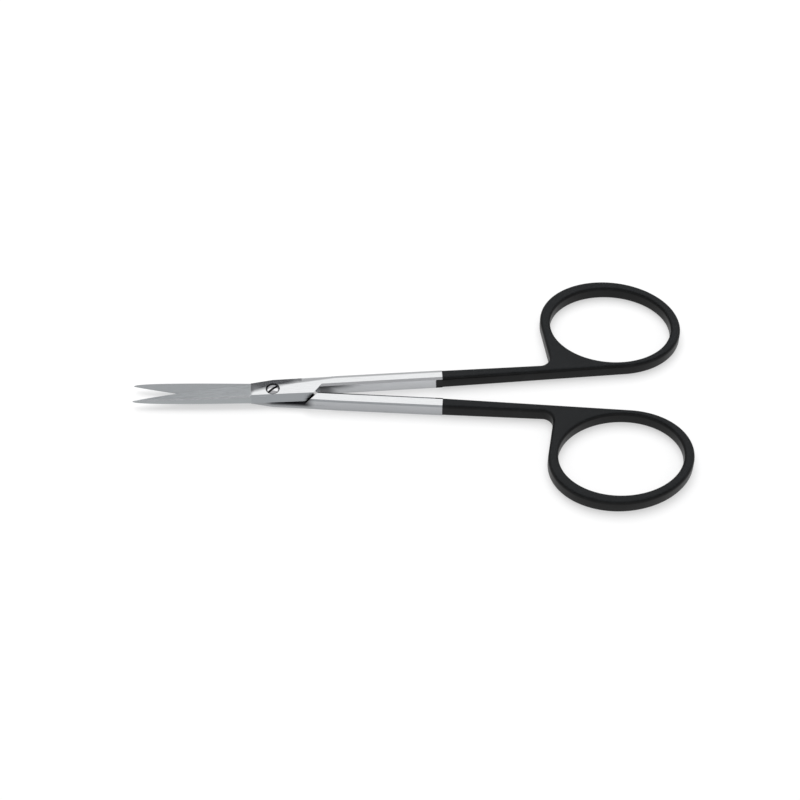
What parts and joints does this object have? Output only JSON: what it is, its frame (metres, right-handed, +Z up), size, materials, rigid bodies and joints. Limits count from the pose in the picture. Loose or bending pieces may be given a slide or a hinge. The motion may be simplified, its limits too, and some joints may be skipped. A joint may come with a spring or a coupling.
{
  "type": "iris scissors",
  "caption": "Fine straight surgical scissors with sharp tips, a slotted pivot screw and finger rings in a black coat.",
  "frame": {"origin": "on the pivot screw's axis, in the plane that the scissors lie on, at the screw's end ground flush with the joint's underside", "axes": "+X from the joint towards the finger rings, +Z up along the screw towards its head, +Y completes a right-handed frame, towards the upper half's ring"},
  "size_m": [0.1139, 0.0584, 0.0032],
  "materials": {
    "ground_steel": "satin ground blades, polished joint plate and shank tops",
    "screw_steel": "polished",
    "black_coat": "satin black"
  },
  "bodies": {
    "lower": {"lower_half": "ground_steel", "lower_handle_coat": "black_coat", "pivot_screw": "screw_steel"},
    "upper": {"upper_half": "ground_steel", "upper_handle_coat": "black_coat"}
  },
  "joints": [
    {"name": "pivot", "type": "hinge", "parent": "lower", "child": "upper", "pos_m": [0, 0, 0], "axis": [0, 0, 1], "range_deg": [-7.8, 60]}
  ]
}
